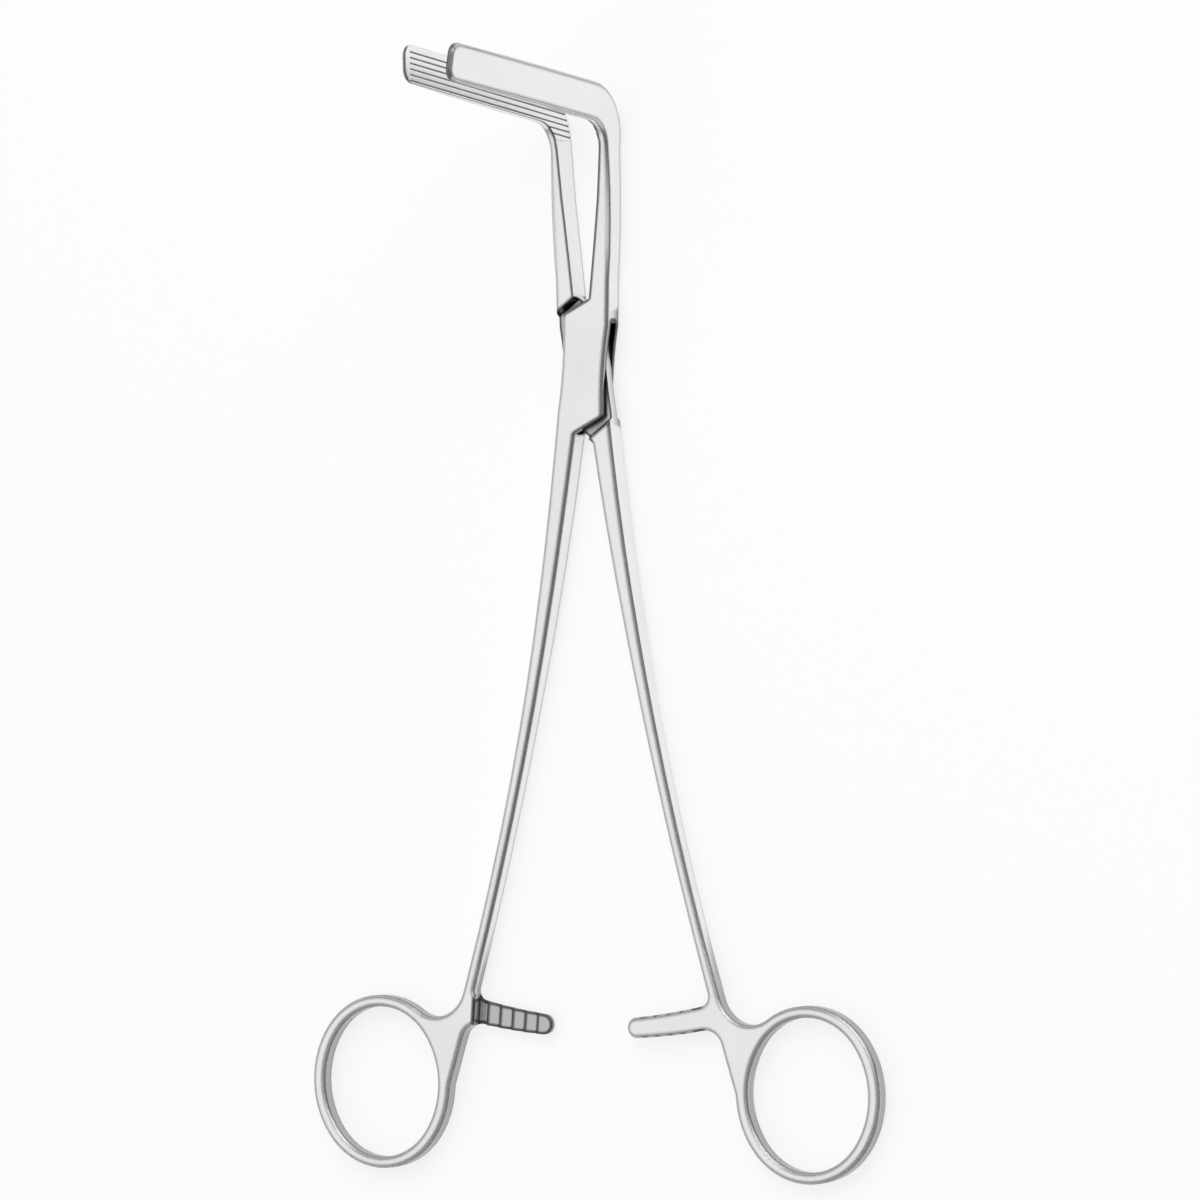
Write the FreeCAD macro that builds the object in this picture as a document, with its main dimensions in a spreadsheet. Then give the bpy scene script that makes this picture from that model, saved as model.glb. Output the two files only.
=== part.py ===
import FreeCAD, Part
import Sketcher
import math
import os

# Right-angled hysterectomy clamp with a box lock, finger rings and a ratchet.
# Millimetres. The clamp lies on its back: the handle plane is horizontal and the jaws point up.
# The pivot stands on the origin, +Y runs from the pivot towards the jaws, +Z is up.
# Each half is drawn closed and is then turned about the pivot to its place, a little open.

doc = FreeCAD.newDocument("clamp")

# Driving dimensions: name, value, what it measures.
SIZES = [
    ("open_half", 4.6, "degrees that each half stands open from closed"),
    # Box lock
    ("lock_depth", 5.0, "front to back through the lock and the upper arms"),
    ("lock_waist", 5.15, "half width of the lock at the pivot"),
    ("lock_flank", 5.6, "half width of the lock at the ends of its waist"),
    ("flank_reach", 9.3, "from the pivot to each end of the waist, along the clamp"),
    ("wall", 1.45, "thickness of each wall of the box"),
    ("side_play", 0.05, "play between the tongue and each wall of the box"),
    ("box_slope", 31.0, "slope of the ends of the box walls, degrees"),
    ("box_reach", 12.3, "from the pivot square to the upper end of a box wall"),
    ("box_foot", 11.3, "from the pivot square to the lower end of a box wall"),
    ("slot_slope", 42.0, "slope of the ends of the slot, degrees"),
    ("slot_reach", 11.07, "from the pivot square to the end of the slot"),
    ("slot_play", 0.15, "play between the tongue and the end of the slot"),
    ("shoulder_play", 0.25, "gap between a box wall and the upper shoulder of the tongue arm"),
    ("foot_play", 0.9, "gap between a box wall and the lower shoulder of the tongue arm"),
    ("shoulder_bevel", 0.9, "what the shoulders of the tongue arm slope back"),
    ("rivet_radius", 1.3, "radius of the pivot rivet"),
    ("rivet_play", 0.05, "radial play of the tongue on the rivet"),
    # Upper arms
    ("crotch", 0.7, "from the middle plane to the inner edge of an upper arm at the lock"),
    ("arm_bow", 1.4, "from the middle plane to the inner edge where the upper arms are furthest apart"),
    ("bow_start", 36.0, "from the pivot to where they are"),
    ("arm_depth", 6.0, "front to back through the upper arm at the bend"),
    ("face_back", 10.5, "from the far side of the jaw to the near end of the jaw face"),
    ("arm_root", 5.05, "from the middle plane to the outer edge of an upper arm at the lock"),
    ("root_reach", 19.0, "from the pivot to the root of an upper arm"),
    ("arm_middle", 4.4, "from the middle plane to the outer edge half way up the arm"),
    ("middle_reach", 35.6, "from the pivot to half way up the arm"),
    ("neck_back", 12.4, "from the far side of the jaw to where the arm is as thin as the jaw"),
    # Jaws
    ("jaw_reach", 58.9, "from the pivot to the far side of the jaw, at the resting plane"),
    ("jaw_lean", 6.5, "lean of the jaw past square, degrees"),
    ("jaw_height", 7.9, "width of the jaw blade across its length"),
    ("jaw_rise", 63.3, "from the resting plane to the tip of the jaw"),
    ("jaw_root", 3.4, "from the middle plane to the outside of the jaw at the bend"),
    ("jaw_tip", 1.15, "the same at the tip"),
    ("jaw_play", 0.03, "from the middle plane to the tip of the closed jaw face, which touches first"),
    ("neck_round", 20.0, "radius where the arm runs into the jaw, seen from the front"),
    ("bend_outer", 12.0, "radius outside the bend"),
    ("bend_inner", 6.5, "radius inside the bend"),
    ("tip_round", 2.6, "radius of the corners of the tip"),
    ("groove_pitch", 1.18, "pitch of the serrations"),
    ("groove_width", 0.62, "width of a serration at the jaw face"),
    ("groove_depth", 0.32, "depth of a serration"),
    ("groove_count", 8, "serrations on each jaw"),
    ("groove_back", 9.9, "from the far side of the jaw to the lowest serration, at the resting plane"),
    ("groove_stop", 1.7, "smooth rim between the serrations and the tip"),
    # Shanks
    ("shank_top", 3.4, "from the middle plane to the middle of the shank at the lock"),
    ("shank_middle", 8.55, "the same half way down"),
    ("shank_end", 25.6, "the same where the shank runs into the ring"),
    ("middle_drop", 70.0, "from the pivot down to half way along the shank"),
    ("end_below", 2.7, "from the level of the ring's centre down to the end of the shank"),
    ("shank_root", 4.7, "width of the shank at the lock"),
    ("shank_waist", 2.95, "width of the shank half way down"),
    ("shank_foot", 2.9, "width of the shank where it runs into the ring"),
    ("shank_depth", 3.85, "front to back through the shank half way down"),
    ("ring_depth", 3.4, "front to back through the finger ring"),
    ("thin_start", 17.0, "from the pivot down to where the handle starts to thin"),
    ("thin_end", 8.0, "from where the handle stops thinning down to the ratchet bar"),
    ("edge_bevel", 0.5, "width of the bevel along the front and back edges"),
    # Finger rings
    ("ring_beside", 15.0, "from the middle of the shank's end sideways to the centre of the ring"),
    ("ring_below", 16.3, "from the ratchet bar down to the centre of the ring"),
    ("ring_wide", 14.5, "half width of the finger hole"),
    ("ring_tall", 16.1, "half height of the finger hole"),
    ("wire_side", 2.85, "thickness of the ring at its sides"),
    ("wire_end", 2.4, "thickness of the ring at its top and bottom"),
    ("crotch_round", 7.5, "radius between shank and ring, outside"),
    ("under_round", 4.0, "radius under the ratchet bar"),
    ("over_round", 2.2, "radius over the ratchet bar"),
    # Ratchet
    ("bar_drop", 139.0, "from the pivot to the middle of the ratchet bar"),
    ("bar_height", 4.3, "height of the ratchet bar at its tip"),
    ("bar_flare", 0.5, "what the bar gains in height on each edge at its root"),
    ("box_past", 0.7, "how far the closed bar of the box arm reaches past the middle plane"),
    ("tongue_past", 1.9, "the same for the bar of the tongue arm"),
    ("bar_play", 0.1, "from the middle of the depth to the crest of a tooth"),
    ("tooth_pitch", 3.14, "pitch of the ratchet teeth"),
    ("tooth_ramp", 2.6, "length of the slope of a tooth"),
    ("tooth_depth", 0.8, "depth of a ratchet tooth"),
    ("tooth_count", 4, "ratchet teeth on each bar, with a plain pad before them"),
    ("pad_length", 3.8, "length of the plain pad at the tip of the bar"),
    ("relief_past", 2.4, "from the last tooth to the shoulder behind the teeth"),
    ("bar_cut", 9.0, "width of the cut that clears the front of the bar"),
    ("tip_clear", 1.0, "what that cut runs past the tip of the bar"),
]

# Sizes that follow from the ones above.
FOLLOWING = [
    ("slot_depth", "=lock_depth - 2 * wall", "front to back through the slot"),
    ("slot_top", "=lock_depth - wall", "height of the upper wall's inner face"),
    ("cut_half", "=4 * lock_flank", "half length of the cuts across the lock"),
    ("cut_across", "=2 * cut_half", "whole length of the cuts across the lock"),
    ("recess_depth", "=wall + side_play", "depth of the recesses beside the tongue"),
    ("recess_floor", "=lock_depth - recess_depth", "height of the floor of the upper recess"),
    ("head_low", "=box_reach + shoulder_play", "from the pivot square to the foot of the upper shoulder"),
    ("head_high", "=head_low + shoulder_bevel", "the same to its top"),
    ("foot_low", "=box_foot + foot_play", "from the pivot square to the foot of the lower shoulder"),
    ("foot_high", "=foot_low + shoulder_bevel", "the same to its top"),
    ("tongue_bore", "=rivet_radius + rivet_play", "radius of the bore in the tongue"),
    ("face_start", "=jaw_reach - face_back", "from the pivot to the near end of the jaw face"),
    ("neck_reach", "=jaw_reach - neck_back", "from the pivot to where the arm is as thin as the jaw"),
    ("groove_first", "=jaw_reach - groove_back", "from the pivot to the lowest serration"),
    ("groove_middle", "=groove_first * cos(jaw_lean * 1deg)", "the same, square to the lean of the jaw"),
    ("groove_low", "=groove_middle - groove_width / 2", "its lower edge"),
    ("groove_high", "=groove_middle + groove_width / 2", "its upper edge"),
    ("groove_tip", "=arm_bow + groove_depth", "from the middle plane to its bottom, at the resting plane"),
    ("groove_run", "=(groove_count - 1) * groove_pitch", "from the first serration to the last"),
    ("jaw_length", "=jaw_reach * sin(jaw_lean * 1deg) + jaw_rise / cos(jaw_lean * 1deg)", "jaw, along its lean"),
    ("groove_length", "=jaw_length - groove_stop", "length of the cut of a serration"),
    ("ring_drop", "=bar_drop + ring_below", "from the pivot down to the centre of the ring"),
    ("ring_out", "=shank_end + ring_beside", "from the middle plane to the centre of the ring"),
    ("end_drop", "=ring_drop + end_below", "from the pivot down to the end of the shank"),
    ("crest", "=lock_depth / 2 - bar_play", "from the back of the bar to the crest of its teeth"),
    ("valley", "=crest - tooth_depth", "from the back of the bar to the bottom of its teeth"),
    ("first_face", "=tip_clear + pad_length", "start of the cut to the upright face of the first tooth"),
    ("first_ramp", "=first_face + tooth_ramp", "the same to the end of its slope"),
    ("last_face", "=first_face + tooth_count * tooth_pitch", "the same to the face behind the last tooth"),
    ("relief_end", "=last_face + relief_past", "the same to the end of the relief"),
    ("tooth_run", "=(tooth_count - 1) * tooth_pitch", "from the first tooth to the last"),
    ("box_tip", "=box_past + tip_clear", "from the middle plane to the start of the box arm's cut"),
    ("tongue_tip", "=tongue_past + tip_clear", "the same for the tongue arm"),
    ("cut_drop", "=bar_drop - bar_cut / 2", "from the pivot down to the upper side of the cut"),
]

sheet = doc.addObject("Spreadsheet::Sheet", "Sizes")
for row, (name, value, note) in enumerate(SIZES + FOLLOWING, start=1):
    sheet.set("A%d" % row, name)
    sheet.set("B%d" % row, str(value))
    sheet.set("C%d" % row, note)
    sheet.setAlias("B%d" % row, name)
doc.recompute()


def size(name):
    """A driving dimension, read from the sheet."""
    return float(sheet.get(name))


def line(start, end):
    """A straight edge between two plan points."""
    return Part.makeLine(FreeCAD.Vector(*start, 0), FreeCAD.Vector(*end, 0))


def arc(start, middle, end):
    """An arc through three plan points."""
    points = [FreeCAD.Vector(*point, 0) for point in (start, middle, end)]
    return Part.Arc(*points).toShape()


def prism(edges, height):
    """A solid that stands on the closed plan outline."""
    wire = Part.Wire(Part.__sortEdges__(edges))
    return Part.Face(wire).extrude(FreeCAD.Vector(0, 0, height))


def plan_outline(slope, reach, foot):
    """Closed outline of one half with its jaw at +X and its shank at -X.

    The two corners of the lock that the other half passes through are cut off by
    lines with this slope, in degrees: the upper one this reach and the lower one
    this foot away from the pivot.
    """
    rise = math.tan(math.radians(slope))
    crown = reach / math.cos(math.radians(slope))
    sole = foot / math.cos(math.radians(slope))
    flank = size("lock_flank")
    end = size("flank_reach")
    waist = size("lock_waist")
    crotch = size("crotch")
    play = size("jaw_play")
    far = size("jaw_reach") + size("jaw_rise")
    shank = {}
    for edge, side in (("inner", -0.5), ("outer", 0.5)):
        shank[edge] = [
            (-size("shank_top") - side * size("shank_root"), -sole),
            (-size("shank_middle") - side * size("shank_waist"), -size("middle_drop")),
            (-size("shank_end") - side * size("shank_foot"), -size("end_drop")),
        ]
    low_crotch = shank["inner"][0][0]
    shank["inner"][0] = (low_crotch, -sole + rise * low_crotch)
    return [
        line((crotch, crown + rise * crotch), (size("arm_bow"), size("bow_start"))),
        line((size("arm_bow"), size("bow_start")), (size("arm_bow"), size("face_start"))),
        line((size("arm_bow"), size("face_start")), (play, size("face_start"))),
        line((play, size("face_start")), (play, far)),
        line((play, far), (size("jaw_root"), far)),
        line((size("jaw_root"), far), (size("jaw_root"), size("neck_reach"))),
        arc((size("jaw_root"), size("neck_reach")),
            (size("arm_middle"), size("middle_reach")),
            (size("arm_root"), size("root_reach"))),
        line((size("arm_root"), size("root_reach")), (flank, end)),
        arc((flank, end), (waist, 0), (flank, -end)),
        line((flank, -end), (flank, -sole + rise * flank)),
        line((flank, -sole + rise * flank), shank["inner"][0]),
        arc(*shank["inner"]),
        line(shank["inner"][2], shank["outer"][2]),
        arc(*shank["outer"]),
        line(shank["outer"][0], (-flank, -end)),
        arc((-flank, -end), (-waist, 0), (-flank, end)),
        line((-flank, end), (-flank, crown - rise * flank)),
        line((-flank, crown - rise * flank), (crotch, crown + rise * crotch)),
    ]


def shank_middle_at(drop):
    """Distance of the middle of the shank from the middle plane, this far below the pivot."""
    stations = [(size("box_reach"), size("shank_top")), (size("middle_drop"), size("shank_middle")),
                (size("end_drop"), size("shank_end"))]
    total = 0
    for own, out in stations:
        others = [other for other, _ in stations if other != own]
        total += out * math.prod((drop - other) / (own - other) for other in others)
    return total


def oval(wide, tall, height):
    """A solid on the centre of the finger ring, whose plan is an oval of four tangent arcs."""
    end_radius = wide - (tall - wide) / 2
    end_centre = tall - end_radius
    side_radius = (wide ** 2 + end_centre ** 2 - end_radius ** 2) / (2 * (wide - end_radius))
    side_centre = wide - side_radius
    share = side_radius / (side_radius - end_radius)
    across = side_centre - share * side_centre
    up = share * end_centre
    outline = Part.Wire([
        arc((across, -up), (wide, 0), (across, up)),
        arc((across, up), (0, tall), (-across, up)),
        arc((-across, up), (-wide, 0), (-across, -up)),
        arc((-across, -up), (0, -tall), (across, -up)),
    ])
    outline.rotate(FreeCAD.Vector(0, 0, 0), FreeCAD.Vector(0, 0, 1), size("open_half"))
    outline.translate(FreeCAD.Vector(-size("ring_out"), -size("ring_drop"), 0))
    return Part.Face(outline).extrude(FreeCAD.Vector(0, 0, height))


def ratchet_bar(past, height):
    """The bar, a band that follows a circle about the pivot, with a rounded tip this far past the middle."""
    radius = size("bar_drop")
    half = size("bar_height") / 2
    tip_centre = past - half
    root = -shank_middle_at(radius)

    def on_circle(x, offset):
        return (x, -math.sqrt(radius ** 2 - x ** 2) + offset)

    flare = size("bar_flare")
    middle = (tip_centre + root) / 2
    top = [on_circle(tip_centre, half), on_circle(middle, half + flare / 2), on_circle(root, half + flare)]
    under = [on_circle(tip_centre, -half), on_circle(middle, -half - flare / 2), on_circle(root, -half - flare)]
    tip = on_circle(tip_centre + half, 0)
    return prism([arc(*top), line(top[2], under[2]), arc(*under), arc(under[0], tip, top[0])], height)


def half_blank(slope, reach, foot, past):
    """The forging of one half: jaw at +X, shank and ring at -X, before it is machined."""
    depth = size("lock_depth")
    plan = prism(plan_outline(slope, reach, foot), size("jaw_rise") + size("jaw_reach"))
    plan = round_upright(plan, size("neck_round"), size("jaw_root"), size("neck_reach"))

    # Handle: shank, ring and bar are one flat shape, thinned from the lock to the ring.
    handle = plan.fuse([oval(size("ring_wide") + size("wire_side"), size("ring_tall") + size("wire_end"), depth),
                        ratchet_bar(past, depth)])
    handle = handle.cut(oval(size("ring_wide"), size("ring_tall"), depth)).removeSplitter()
    handle = round_crotches(handle)
    handle = handle.common(handle_side_view())

    # Upper arm and jaw: the plan is trimmed to an L in the side view, and both faces of the jaw taper.
    upper = plan.common(jaw_side_view()).cut([jaw_taper(), jaw_face()])
    return bevel_outside(upper.fuse(handle).removeSplitter())


def round_upright(shape, radius, x, y):
    """Round the upright edge of the plan at this place."""
    edges = upright_edges(shape, lambda edge_x, edge_y: math.hypot(edge_x - x, edge_y - y) < 0.3)
    return shape.makeFillet(radius, edges) if edges else shape


def jaw_taper():
    """What is ground off the back of the jaw, so that it thins in a long curve to its tip."""
    start = size("arm_depth") + size("bend_inner")
    root = size("jaw_root")
    loss = root - size("jaw_tip")
    radius = (size("jaw_rise") - start) ** 2 / (2 * loss)
    high = size("jaw_rise") + 2
    middle = (start + high) / 2
    curve = [FreeCAD.Vector(root - (z - start) ** 2 / (2 * radius), 0, z) for z in (start, middle, high)]
    far = 2 * size("arm_root")
    outline = [
        Part.Arc(*curve).toShape(),
        Part.makeLine(curve[2], FreeCAD.Vector(far, 0, high)),
        Part.makeLine(FreeCAD.Vector(far, 0, high), FreeCAD.Vector(far, 0, start)),
        Part.makeLine(FreeCAD.Vector(far, 0, start), curve[0]),
    ]
    solid = Part.Face(Part.Wire(outline)).extrude(FreeCAD.Vector(0, size("jaw_reach") + size("jaw_rise"), 0))
    return solid


def face_slope():
    """How much the jaw face nears the middle plane for each millimetre of height."""
    return (size("arm_bow") - size("jaw_play")) / size("jaw_rise")


def jaw_face():
    """What is ground off the inner side of the jaw, so that the closed jaws touch at their tips."""
    low, high = -1, size("jaw_rise") + 1
    heel = size("arm_bow")
    points = [(-heel, low), (heel - face_slope() * low, low), (heel - face_slope() * high, high), (-heel, high)]
    wire = Part.makePolygon([FreeCAD.Vector(x, size("face_start"), z) for x, z in points + points[:1]])
    return Part.Face(wire).extrude(FreeCAD.Vector(0, size("jaw_reach") + size("jaw_rise"), 0))


def handle_side_view():
    """Side view of the handle, which thins in a long curve from the lock and is flat at the bar and ring."""
    depth = size("lock_depth")
    far = -size("ring_drop") - 2 * size("ring_tall")
    thinning = (depth - size("ring_depth")) / 2
    waist = (depth - size("shank_depth")) / 2
    level = -size("bar_drop") + size("thin_end")
    outline = [Part.makeLine(FreeCAD.Vector(0, far, thinning), FreeCAD.Vector(0, far, depth - thinning))]
    for face, sign in ((0, 1), (depth, -1)):
        curve = Part.BSplineCurve()
        points = [FreeCAD.Vector(0, -size("thin_start"), face),
                  FreeCAD.Vector(0, -size("middle_drop"), face + sign * waist),
                  FreeCAD.Vector(0, level, face + sign * thinning)]
        curve.interpolate(Points=points, InitialTangent=FreeCAD.Vector(0, -1, 0),
                          FinalTangent=FreeCAD.Vector(0, -1, 0))
        outline.append(Part.makeLine(FreeCAD.Vector(0, 0, face), points[0]))
        outline.append(curve.toShape())
        outline.append(Part.makeLine(points[2], FreeCAD.Vector(0, far, face + sign * thinning)))
    outline.append(Part.makeLine(FreeCAD.Vector(0, 0, 0), FreeCAD.Vector(0, 0, depth)))
    wire = Part.Wire(Part.__sortEdges__(outline))
    solid = Part.Face(wire).extrude(FreeCAD.Vector(2 * size("bar_drop"), 0, 0))
    solid.translate(FreeCAD.Vector(-size("bar_drop"), 0, 0))
    return solid


def jaw_side_view():
    """L-shaped side view of upper arm and jaw, extruded across the clamp; the arm deepens towards the bend."""
    depth = size("lock_depth")
    lean = math.radians(size("jaw_lean"))
    along = FreeCAD.Vector(0, math.sin(lean), math.cos(lean))
    across = FreeCAD.Vector(0, math.cos(lean), -math.sin(lean))
    heel = FreeCAD.Vector(0, size("jaw_reach"), 0)
    far_tip = heel + along * (size("jaw_rise") / math.cos(lean))
    near_tip = far_tip - across * size("jaw_height")
    fall = (near_tip.z - size("arm_depth")) / math.cos(lean)
    armpit = near_tip - along * fall
    root = FreeCAD.Vector(0, size("root_reach"), depth)
    swell = FreeCAD.Vector(0, (armpit.y + root.y) / 2, depth + (armpit.z - depth) / 4)
    points = [root, FreeCAD.Vector(0, 0, depth), FreeCAD.Vector(0, 0, 0), heel, far_tip, near_tip, armpit]
    outline = [Part.makeLine(start, end) for start, end in zip(points, points[1:])]
    outline.append(Part.Arc(armpit, swell, root).toShape())
    solid = Part.Face(Part.Wire(outline)).extrude(FreeCAD.Vector(4 * size("arm_root"), 0, 0))
    for point, radius in ((heel, size("bend_outer")), (far_tip, size("tip_round")),
                          (near_tip, size("tip_round")), (armpit, size("bend_inner"))):
        solid = solid.makeFillet(radius, [edge for edge in solid.Edges if lies_along_x(edge, point)])
    solid.translate(FreeCAD.Vector(-2 * size("arm_root"), 0, 0))
    return solid


def lies_along_x(edge, point):
    """True for an edge along X that passes through the point."""
    ends = [vertex.Point for vertex in edge.Vertexes]
    return all(abs(end.y - point.y) < 0.01 and abs(end.z - point.z) < 0.01 for end in ends)


def upright_edges(shape, test):
    """Upright edges of the shape whose plan place passes the test."""
    chosen = []
    for edge in shape.Edges:
        if len(edge.Vertexes) == 2:
            low, high = [vertex.Point for vertex in edge.Vertexes]
            upright = abs(low.x - high.x) < 0.001 and abs(low.y - high.y) < 0.001
            if upright and test(low.x, low.y):
                chosen.append(edge)
    return chosen


def round_crotches(handle):
    """Round the inside corners where shank, ring and ratchet bar run into each other."""
    bar = size("bar_drop")
    middle = -shank_middle_at(bar)
    inner_edge = middle + size("shank_foot") / 2
    ring_top = -size("ring_drop") + size("ring_tall")
    bar_half = size("bar_height")

    def beside_bar(x):
        return abs(x - inner_edge) < size("shank_foot") / 2

    plan = [
        (size("crotch_round"), lambda x, y: -size("ring_drop") < y < -bar - bar_half and x > -size("ring_out")),
        (size("under_round"), lambda x, y: -bar - bar_half < y < -bar and beside_bar(x)),
        (size("over_round"), lambda x, y: -bar < y < -bar + bar_half and beside_bar(x)),
    ]
    for radius, test in plan:
        edges = upright_edges(handle, test)
        if edges:
            handle = handle.makeFillet(radius, edges)
    return handle


def bevel_outside(blank):
    """Bevel the front and back edges of handle and lock, and the outside edges of the arm and the jaw."""
    edges = []
    for edge in blank.Edges:
        box = edge.BoundBox
        upright = box.XLength + box.YLength < 0.001
        across = box.YLength + box.ZLength < 0.001
        if not (upright or across) and is_outside(edge.valueAt((edge.FirstParameter + edge.LastParameter) / 2)):
            edges.append(edge)
    return blank.makeChamfer(size("edge_bevel"), edges)


def is_outside(point):
    """True on the handle, on the flanks of the lock and on the outer side of the arm and the jaw."""
    root = size("root_reach")
    if point.y < -size("thin_start"):
        return True
    if point.y < root:
        return abs(point.x) > 0.85 * size("lock_flank") and (point.x > 0 or point.y < 0.6 * root)
    return point.x > size("arm_bow") - face_slope() * point.z + size("edge_bevel")


def place_of(term):
    """Value of a term: a size, a size with a minus sign, or 0."""
    if term == "0":
        return 0.0
    return -size(term[1:]) if term.startswith("-") else size(term)


def formula_of(term):
    """The same term as a formula that refers to the sheet."""
    return "-Sizes." + term[1:] if term.startswith("-") else "Sizes." + term


def new_sketch(body, name, role, turn, base):
    """An empty sketch on an origin plane of the body, turned and then moved by three terms."""
    plane = [item for item in body.Origin.OriginFeatures if item.Role == role][0]
    sketch = body.newObject("Sketcher::SketchObject", name)
    sketch.AttachmentSupport = [(plane, "")]
    sketch.MapMode = "FlatFace"
    sketch.AttachmentOffset = FreeCAD.Placement(FreeCAD.Vector(*[place_of(term) for term in base]), turn)
    for axis, term in zip("xyz", base):
        if term != "0":
            sketch.setExpression("AttachmentOffset.Base." + axis, formula_of(term))
    return sketch


def about(x, y, z, angle):
    """A turn about an axis, in degrees."""
    return FreeCAD.Rotation(FreeCAD.Vector(x, y, z), angle)


def polygon(sketch, corners):
    """Closed outline whose corners are pairs of terms, measured from the sketch's origin."""
    places = [FreeCAD.Vector(place_of(across), place_of(up), 0) for across, up in corners]
    count = len(places)
    for number in range(count):
        sketch.addGeometry(Part.LineSegment(places[number], places[(number + 1) % count]), False)
    for number in range(count):
        sketch.addConstraint(Sketcher.Constraint("Coincident", number, 2, (number + 1) % count, 1))
    for number, (across, up) in enumerate(corners):
        for kind, term, axis in (("DistanceX", across, -2), ("DistanceY", up, -1)):
            if term == "0":
                sketch.addConstraint(Sketcher.Constraint("PointOnObject", number, 1, axis))
            else:
                index = sketch.addConstraint(Sketcher.Constraint(kind, -1, 1, number, 1, place_of(term)))
                sketch.setExpression("Constraints[%d]" % index, formula_of(term))


def disc(sketch, radius):
    """A circle on the sketch's origin."""
    sketch.addGeometry(Part.Circle(FreeCAD.Vector(0, 0, 0), FreeCAD.Vector(0, 0, 1), size(radius)), False)
    sketch.addConstraint(Sketcher.Constraint("Coincident", 0, 3, -1, 1))
    index = sketch.addConstraint(Sketcher.Constraint("Radius", 0, size(radius)))
    sketch.setExpression("Constraints[%d]" % index, formula_of(radius))


def cut(body, name, sketch, depth, forwards=False):
    """Cut the sketch out of the body against its normal, or along it when forwards."""
    pocket = body.newObject("PartDesign::Pocket", name)
    pocket.Profile = sketch
    pocket.Reversed = forwards
    pocket.setExpression("Length", formula_of(depth))
    doc.recompute()
    return pocket


def repeat(body, name, pocket, sketch, direction, run, count):
    """Repeat a cut along an axis of its sketch."""
    pattern = body.newObject("PartDesign::LinearPattern", name)
    pattern.Originals = [pocket]
    pattern.Direction = (sketch, [direction])
    pattern.setExpression("Length", formula_of(run))
    pattern.setExpression("Occurrences", formula_of(count))
    body.Tip = pattern
    doc.recompute()
    return pattern


def arm_body(label, blank):
    """A body that starts from the forging of one half."""
    base = doc.addObject("Part::Feature", label + "_forging")
    base.Shape = blank
    body = doc.addObject("PartDesign::Body", label)
    body.BaseFeature = base
    doc.recompute()
    return body


def slot(body):
    """The slot through the box, cut square across at an angle, between its two walls."""
    sketch = new_sketch(body, "SlotSketch", "XY_Plane", about(0, 0, 1, -size("slot_slope")), ("0", "0", "slot_top"))
    polygon(sketch, [("-cut_half", "-slot_reach"), ("cut_half", "-slot_reach"),
                     ("cut_half", "slot_reach"), ("-cut_half", "slot_reach")])
    return cut(body, "Slot", sketch, "slot_depth")


def recess(body, name, face, floor):
    """A recess beside the tongue with sloping shoulders, as a profile that runs across the lock."""
    sketch = new_sketch(body, name + "Sketch", "YZ_Plane", about(0, 1, 0, size("box_slope")), ("0", "0", "0"))
    polygon(sketch, [("-foot_low", floor), ("head_low", floor), ("head_high", face), ("-foot_high", face)])
    pocket = cut(body, name, sketch, "cut_across")
    pocket.Midplane = True
    doc.recompute()
    return pocket


def bore(body, radius):
    """The hole for the rivet."""
    sketch = new_sketch(body, "BoreSketch", "XY_Plane", about(0, 0, 1, 0), ("0", "0", "lock_depth"))
    disc(sketch, radius)
    return cut(body, "Bore", sketch, "lock_depth")


def serrate(body, sign):
    """V-shaped grooves along the jaw, on its inner face; sign is empty for the jaw at +X."""
    lean = size("jaw_lean")
    toe_in = math.degrees(math.atan(face_slope() * math.cos(math.radians(lean))))
    turn = about(1, 0, 0, -lean).multiply(about(0, 1, 0, toe_in if sign else -toe_in))
    sketch = new_sketch(body, "GrooveSketch", "XY_Plane", turn, ("0", "0", "0"))
    polygon(sketch, [("0", "groove_low"), (sign + "arm_bow", "groove_low"), (sign + "groove_tip", "groove_middle"),
                     (sign + "arm_bow", "groove_high"), ("0", "groove_high")])
    groove = cut(body, "Groove", sketch, "groove_length", forwards=True)
    return repeat(body, "Grooves", groove, sketch, "V_Axis", "groove_run", "groove_count")


def tooth_bar(body, turn, base):
    """Cut the bar's tip region to half the depth, then the teeth; the sketches run from tip to root."""
    sketch = new_sketch(body, "ReliefSketch", "XZ_Plane", turn, base)
    polygon(sketch, [("0", "crest"), ("last_face", "crest"), ("last_face", "valley"), ("relief_end", "valley"),
                     ("relief_end", "lock_depth"), ("0", "lock_depth")])
    cut(body, "Relief", sketch, "bar_cut")
    sketch = new_sketch(body, "ToothSketch", "XZ_Plane", turn, base)
    polygon(sketch, [("first_face", "lock_depth"), ("first_face", "valley"), ("first_ramp", "crest"),
                     ("first_ramp", "lock_depth")])
    tooth = cut(body, "Tooth", sketch, "bar_cut")
    return repeat(body, "Teeth", tooth, sketch, "H_Axis", "tooth_run", "tooth_count")


def stand(body, axis):
    """Turn a half about the pivot to its resting place."""
    body.Placement = FreeCAD.Placement(FreeCAD.Vector(0, 0, 0), about(0, 0, axis, size("open_half")))
    body.setExpression("Placement.Rotation.Angle", "Sizes.open_half * 1deg")


# Box arm: the slot, the bore, the serrations and the teeth on the front of its bar.
forged = half_blank(size("box_slope"), size("box_reach"), size("box_foot"), size("box_past"))
box_arm = arm_body("box_arm", forged)
slot(box_arm)
bore(box_arm, "rivet_radius")
serrate(box_arm, "")
tooth_bar(box_arm, about(0, 1, 0, 180), ("box_tip", "0", "cut_drop"))
stand(box_arm, -1)

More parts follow.
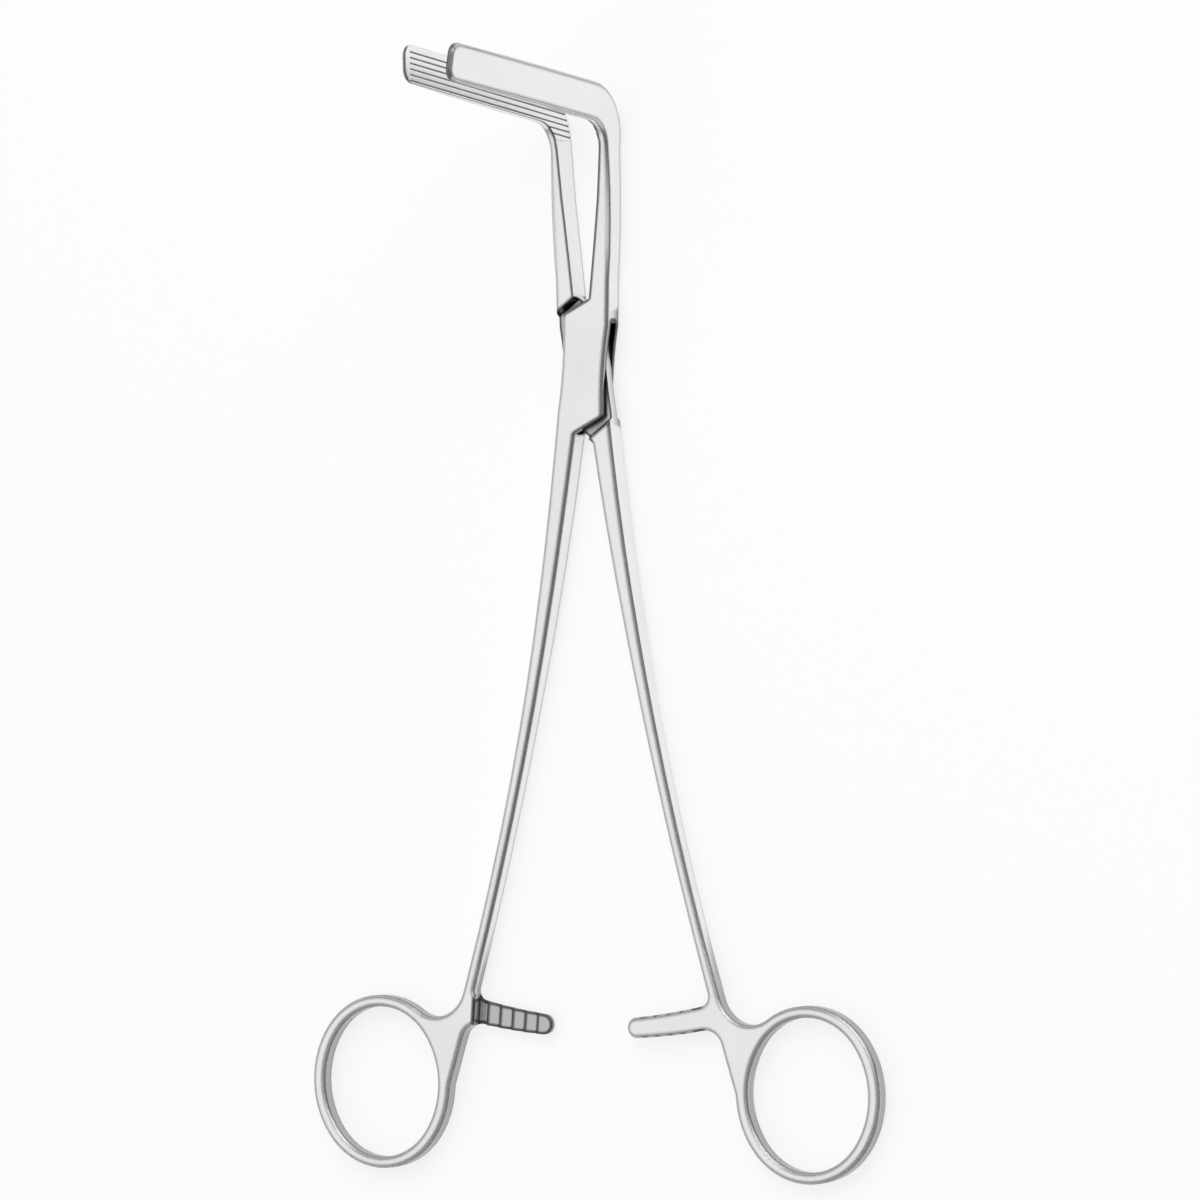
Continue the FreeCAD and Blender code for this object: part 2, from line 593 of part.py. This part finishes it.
# Tongue arm: recesses that leave the tongue, the bore, the serrations and the teeth on the back of its bar.
tongue_end = size("slot_reach") - size("slot_play")
forged = half_blank(size("slot_slope"), tongue_end, tongue_end, size("tongue_past"))
tongue_arm = arm_body("tongue_arm", forged.mirror(FreeCAD.Vector(0, 0, 0), FreeCAD.Vector(1, 0, 0)))
recess(tongue_arm, "UpperRecess", "lock_depth", "recess_floor")
recess(tongue_arm, "LowerRecess", "0", "recess_depth")
bore(tongue_arm, "tongue_bore")
serrate(tongue_arm, "-")
tooth_bar(tongue_arm, about(1, 0, 0, 180), ("-tongue_tip", "lock_depth", "cut_drop"))
stand(tongue_arm, 1)

# Pivot rivet: a plain pin as long as the lock is deep, turned.
pivot_rivet = doc.addObject("PartDesign::Body", "pivot_rivet")
profile = new_sketch(pivot_rivet, "RivetSketch", "XZ_Plane", about(0, 0, 1, 0), ("0", "0", "0"))
polygon(profile, [("0", "0"), ("rivet_radius", "0"), ("rivet_radius", "lock_depth"), ("0", "lock_depth")])
turned = pivot_rivet.newObject("PartDesign::Revolution", "Turned")
turned.Profile = profile
turned.ReferenceAxis = (profile, ["V_Axis"])
turned.Angle = 360
doc.recompute()

for item in doc.Objects:
    if "Invalid" in item.State or "Error" in item.State:
        raise RuntimeError(item.Name + " has a fault: " + ", ".join(item.State))

os.makedirs("parts", exist_ok=True)
for body in (box_arm, tongue_arm, pivot_rivet):
    shape = body.Shape
    if shape.isNull() or not shape.isValid() or len(shape.Solids) != 1:
        raise RuntimeError(body.Label + " is not one valid solid")
    shape.exportStep("parts/" + body.Label + ".step")
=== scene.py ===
import math

import bpy
from mathutils import Matrix, Vector


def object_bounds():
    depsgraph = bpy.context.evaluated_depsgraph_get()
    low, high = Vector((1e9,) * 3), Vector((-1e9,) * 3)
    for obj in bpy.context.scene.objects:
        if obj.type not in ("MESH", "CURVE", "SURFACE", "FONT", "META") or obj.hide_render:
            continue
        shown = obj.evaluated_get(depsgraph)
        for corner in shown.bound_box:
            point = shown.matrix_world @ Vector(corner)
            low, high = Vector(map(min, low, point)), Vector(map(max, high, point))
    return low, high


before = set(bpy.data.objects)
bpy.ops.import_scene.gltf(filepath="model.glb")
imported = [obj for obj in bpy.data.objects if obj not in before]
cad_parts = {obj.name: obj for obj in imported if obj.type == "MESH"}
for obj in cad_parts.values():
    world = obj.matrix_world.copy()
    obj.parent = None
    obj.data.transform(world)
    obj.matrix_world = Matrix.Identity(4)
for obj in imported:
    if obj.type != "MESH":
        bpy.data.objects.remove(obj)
cad_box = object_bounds()

scene = bpy.context.scene
scene.view_settings.view_transform = "Standard"


# Camera

IMAGE = 1200
SENSOR = 36.0
CLIP_START = 0.01
CLIP_END = 20.0

# The camera's direction from the clamp: turned to the right, raised, and rolled about its own axis
TURN = math.radians(32.0)
RISE = math.radians(0.4)
ROLL = math.radians(0.48)
DISTANCE = 1.75
PIXELS_PER_METRE = 4750.0
AIM = Vector((0.0, 0.0, 0.0025))
AIM_PIXEL = (588.0, 368.5)


def make_camera():
    """Camera at the photograph's viewing angle; AIM falls on AIM_PIXEL of the 1200 x 1200 frame."""
    back = Vector((math.sin(TURN) * math.cos(RISE), math.sin(RISE),
                   math.cos(TURN) * math.cos(RISE)))
    right = Vector((math.cos(TURN), 0.0, -math.sin(TURN)))
    up = back.cross(right)

    focal = PIXELS_PER_METRE * DISTANCE
    across = AIM_PIXEL[0] - IMAGE / 2
    above = IMAGE / 2 - AIM_PIXEL[1]
    unrolled = (across * math.cos(ROLL) + above * math.sin(ROLL),
                -across * math.sin(ROLL) + above * math.cos(ROLL))
    place = (AIM + back * DISTANCE - right * unrolled[0] / focal * DISTANCE
             - up * unrolled[1] / focal * DISTANCE)
    rolled_right = right * math.cos(ROLL) - up * math.sin(ROLL)
    rolled_up = right * math.sin(ROLL) + up * math.cos(ROLL)

    data = bpy.data.cameras.new("camera")
    data.sensor_width = SENSOR
    data.lens = focal / IMAGE * SENSOR
    data.clip_start = CLIP_START
    data.clip_end = CLIP_END
    camera = bpy.data.objects.new("camera", data)
    turn = Matrix((rolled_right, rolled_up, back)).transposed().to_4x4()
    camera.matrix_world = Matrix.Translation(place) @ turn
    scene.collection.objects.link(camera)
    scene.camera = camera


make_camera()


# Materials

class Nodes:
    """Short helpers to build the nodes of one material or of the world."""

    def __init__(self, owner):
        owner.use_nodes = True
        self.tree = owner.node_tree

    def add(self, kind, inputs=None, **settings):
        """A node with these settings; inputs are values, or the outputs that feed them."""
        node = self.tree.nodes.new(kind)
        for key, value in settings.items():
            setattr(node, key, value)
        for key, value in (inputs or {}).items():
            if isinstance(value, bpy.types.NodeSocket):
                self.link(value, node.inputs[key])
            else:
                node.inputs[key].default_value = value
        return node

    def link(self, source, target):
        self.tree.links.new(source, target)

    def span(self, source, low, high, start=0.0, end=1.0):
        """A value that goes from low to high as the source goes from start to end."""
        inputs = {"Value": source, "From Min": start, "From Max": end,
                  "To Min": low, "To Max": high}
        return self.add("ShaderNodeMapRange", inputs).outputs["Result"]

    def maths(self, operation, *values):
        inputs = dict(enumerate(values))
        return self.add("ShaderNodeMath", inputs, operation=operation).outputs["Value"]

    def times(self, first, second):
        return self.maths("MULTIPLY", first, second)

    def opposite(self, mask):
        """1 where the mask is 0, and 0 where it is 1."""
        return self.span(mask, 1.0, 0.0)

    def vector(self, operation, output, inputs):
        return self.add("ShaderNodeVectorMath", inputs, operation=operation).outputs[output]

    def parts(self, source):
        """The outputs X, Y and Z of a vector."""
        return self.add("ShaderNodeSeparateXYZ", {"Vector": source}).outputs

    def noise(self, place, grain):
        scale, detail = grain
        inputs = {"Vector": place, "Scale": scale, "Detail": detail}
        return self.add("ShaderNodeTexNoise", inputs).outputs["Fac"]

    def occlusion(self, distance, **settings):
        """How open the surroundings are: 1 in the open, less near other surfaces."""
        node = self.add("ShaderNodeAmbientOcclusion", {"Distance": distance},
                        samples=SHADING_SAMPLES, **settings)
        return node.outputs["AO"]


# Colours of the steel
TONE = (0.91, 0.912, 0.915)
RIVET_TONE = (0.897, 0.899, 0.902)

# Brush marks, drawn out along the clamp, and clouds in the polish: (scale, detail) of the noise
BRUSH = (4.0, 0.6, 4.0)
MARKS = (900.0, 4.0)
MARK_STRENGTH = 0.05
MARK_HEIGHT = 0.00002
ROUGHNESS = (0.25, 0.31)
CLOUDS = (60.0, 3.0)
CLOUD_TONE = 0.95
CLOUD_RANGE = (0.3, 0.7)

SHADING_SAMPLES = 8

# Radius of the rounded shading on the edges, elsewhere and on the rings
EDGE = 0.0003
RING_EDGE = 0.0016

# Painted shade: dark lines along edges, by how much solid lies within EDGE_WIDTH, and darkening in
# crevices, by how much surface lies within CREVICE, or within LOCK_CREVICE in the lock
EDGE_WIDTH = 0.0008
PAINTED_EDGE_SHADE = 0.17
EDGE_RANGE = (0.83, 0.985)
CREVICE = 0.0008
LOCK_CREVICE = 0.005
PAINTED_CREVICE_SHADE = 0.02
CREVICE_RANGE = (0.45, 0.94)

# Painted shade: darker sides of the rings and darker ratchet faces, which lie away from the bars'
# middle plane
PAINTED_RING_SIDE_SHADE = 0.48
RING_SIDE_RANGE = (0.0, 0.9)
PAINTED_RATCHET_SHADE = 0.6
BAR_MIDDLE = 0.0017
RATCHET_RANGE = (0.00095, 0.0011)

# Soft borders of the masks: distances from the pivot's axis, distances from the middle plane,
# and the inward part of the jaw face's normal
ONLY_ACROSS = (1.0, 1.0, 0.0)
HANDLES_BEGIN = (0.12, 0.13)
RIVET_ENDS = (0.0022, 0.0026)
LOCK_ENDS = (0.0145, 0.0135)
RINGS_BEGIN = (0.026, 0.032)
BARS_END = (0.029, 0.031)
JAW_FACE_RANGE = (0.93, 0.98)


def arm_painted_shade(nodes, coordinates, bump, inward):
    """Round the arm's edges in the bump's normal; returns the painted shade of its edge lines,
    crevices, ring sides and ratchet faces.
    """
    place = coordinates["Object"]
    along = nodes.parts(place)
    facing = nodes.parts(coordinates["Normal"])
    outward = nodes.maths("ABSOLUTE", along["X"])
    across = nodes.vector("MULTIPLY", "Vector", {0: place, 1: ONLY_ACROSS})
    reach = nodes.vector("LENGTH", "Value", {0: across})
    handles = nodes.span(reach, 0.0, 1.0, *HANDLES_BEGIN)
    in_ring = nodes.times(nodes.span(outward, 0.0, 1.0, *RINGS_BEGIN), handles)
    in_bar = nodes.times(nodes.span(outward, 1.0, 0.0, *BARS_END), handles)
    on_rivet = nodes.span(reach, 1.0, 0.0, *RIVET_ENDS)
    jaw_face = nodes.span(nodes.times(facing["X"], inward), 0.0, 1.0, *JAW_FACE_RANGE)

    radius = nodes.times(nodes.span(in_ring, EDGE, RING_EDGE), nodes.opposite(on_rivet))
    bevel = nodes.add("ShaderNodeBevel", {"Radius": radius}, samples=SHADING_SAMPLES)
    rounded = bevel.outputs["Normal"]
    nodes.link(rounded, bump.inputs["Normal"])

    # Painted shade: dark lines along the edges
    within = nodes.occlusion(EDGE_WIDTH, inside=True, only_local=True)
    edge_shade = nodes.maths("MAXIMUM", nodes.span(within, PAINTED_EDGE_SHADE, 1.0, *EDGE_RANGE), jaw_face)
    # Painted shade: darkening in crevices and in the lock's slot
    around = nodes.occlusion(nodes.span(reach, CREVICE, LOCK_CREVICE, *LOCK_ENDS))
    crevice_shade = nodes.span(around, PAINTED_CREVICE_SHADE, 1.0, *CREVICE_RANGE)
    line_shade = nodes.maths("MAXIMUM", nodes.times(edge_shade, crevice_shade), on_rivet)

    # Painted shade: ring sides darker the more upright their rounded normal is
    upright = nodes.maths("ABSOLUTE", nodes.parts(rounded)["Z"])
    side_darkening = nodes.span(upright, 1.0 - PAINTED_RING_SIDE_SHADE, 0.0, *RING_SIDE_RANGE)
    ring_side_shade = nodes.times(in_ring, side_darkening)
    # Painted shade: ratchet faces away from the bar's middle plane darker
    off_middle = nodes.maths("ABSOLUTE", nodes.maths("SUBTRACT", along["Z"], BAR_MIDDLE))
    ratchet_darkening = nodes.span(off_middle, 1.0 - PAINTED_RATCHET_SHADE, 0.0, *RATCHET_RANGE)
    ratchet_shade = nodes.times(in_bar, ratchet_darkening)
    side_shade = nodes.times(nodes.opposite(ring_side_shade), nodes.opposite(ratchet_shade))
    return nodes.times(line_shade, side_shade)


def steel(name, tone, inward=0.0):
    """Satin stainless steel with brush marks and a cloudy polish. For an arm, inward is the side
    on which its jaw face lies, 1 or -1, its edges are shaded round, and painted shade darkens its
    edges, crevices, ring sides and ratchet faces."""
    material = bpy.data.materials.new(name)
    nodes = Nodes(material)
    shader = nodes.tree.nodes["Principled BSDF"]
    coordinates = nodes.add("ShaderNodeTexCoord").outputs
    place = coordinates["Object"]
    stretched = nodes.add("ShaderNodeMapping", {"Vector": place, "Scale": BRUSH})
    marks = nodes.noise(stretched.outputs["Vector"], MARKS)
    bump = nodes.add("ShaderNodeBump", {"Strength": MARK_STRENGTH, "Distance": MARK_HEIGHT,
                                        "Height": marks})
    clouds_and_painted_shade = nodes.span(nodes.noise(place, CLOUDS), CLOUD_TONE, 1.0, *CLOUD_RANGE)
    # On the arms, painted shade is multiplied into the cloudy tone
    if inward:
        clouds_and_painted_shade = nodes.times(arm_painted_shade(nodes, coordinates, bump, inward), clouds_and_painted_shade)

    colour = nodes.vector("SCALE", "Vector", {0: tone, "Scale": clouds_and_painted_shade})
    nodes.link(colour, shader.inputs["Base Color"])
    nodes.link(nodes.span(marks, *ROUGHNESS), shader.inputs["Roughness"])
    nodes.link(bump.outputs["Normal"], shader.inputs["Normal"])
    shader.inputs["Metallic"].default_value = 1.0
    return material


finishes = {
    "box_arm": steel("box_arm_steel", TONE, inward=-1.0),
    "tongue_arm": steel("tongue_arm_steel", TONE, inward=1.0),
    "pivot_rivet": steel("rivet_steel", RIVET_TONE),
}
for name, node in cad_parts.items():
    node.data.materials.clear()
    node.data.materials.append(finishes[name])


# Floor

WHITE = (1.0, 1.0, 1.0, 1.0)
PAPER = (0.97, 0.97, 0.97, 1.0)
WHITE_SHARE = 0.75
FLOOR_REACH = 6.0
FLOOR_GAP = 0.0002


def paper():
    """Matt white paper, partly shown as plain white to the camera and in reflections, so that
    its shadows are faint."""
    material = bpy.data.materials.new("floor_paper")
    nodes = Nodes(material)
    shader = nodes.tree.nodes["Principled BSDF"]
    shader.inputs["Base Color"].default_value = PAPER
    shader.inputs["Roughness"].default_value = 1.0
    shader.inputs["Specular IOR Level"].default_value = 0.0
    path = nodes.add("ShaderNodeLightPath").outputs
    seen = nodes.maths("ADD", path["Is Camera Ray"], path["Is Glossy Ray"])
    seen = nodes.maths("ADD", seen, path["Is Transmission Ray"])
    share = nodes.times(seen, WHITE_SHARE)
    white = nodes.add("ShaderNodeEmission", {"Color": WHITE, "Strength": 1.0})
    mixed = nodes.add("ShaderNodeMixShader", {"Fac": share, 1: shader.outputs["BSDF"],
                                              2: white.outputs["Emission"]})
    output = nodes.tree.nodes["Material Output"]
    nodes.link(mixed.outputs["Shader"], output.inputs["Surface"])
    return material


def floor():
    """A floor just under the clamp."""
    mesh = bpy.data.meshes.new("floor")
    corners = [(x * FLOOR_REACH, y * FLOOR_REACH, 0.0)
               for x, y in ((-1, -1), (1, -1), (1, 1), (-1, 1))]
    mesh.from_pydata(corners, [], [(0, 1, 2, 3)])
    mesh.materials.append(paper())
    piece = bpy.data.objects.new("floor", mesh)
    scene.collection.objects.link(piece)
    piece.location = (0.0, 0.0, cad_box[0][2] - FLOOR_GAP)


floor()


# Light

LIGHT_FROM = Vector((-0.42, 0.05, 0.9)).normalized()
LIGHT_RANGE = (0.2, 0.6)
DIM = 0.2
BRIGHT = 0.88


def studio():
    """A broad soft light overhead, towards the left, that fades to a dim room at the sides."""
    world = bpy.data.worlds.new("studio")
    nodes = Nodes(world)
    towards = nodes.add("ShaderNodeTexCoord").outputs["Generated"]
    height = nodes.vector("DOT_PRODUCT", "Value", {0: towards, 1: LIGHT_FROM})
    background = nodes.tree.nodes["Background"]
    nodes.link(nodes.span(height, DIM, BRIGHT, *LIGHT_RANGE), background.inputs["Strength"])
    background.inputs["Color"].default_value = WHITE
    scene.world = world


def lamp(name, place, target, size, power):
    """A soft square area lamp at place, turned to the target."""
    data = bpy.data.lights.new(name, "AREA")
    data.shape = "SQUARE"
    data.size = size
    data.energy = power
    lamp_object = bpy.data.objects.new(name, data)
    lamp_object.location = place
    aim = Vector(target) - Vector(place)
    lamp_object.rotation_euler = aim.to_track_quat("-Z", "Y").to_euler()
    scene.collection.objects.link(lamp_object)


studio()
lamp("key", place=(0.5, 1.0, 1.1), target=(0.0, -0.05, 0.0), size=1.5, power=11.0)
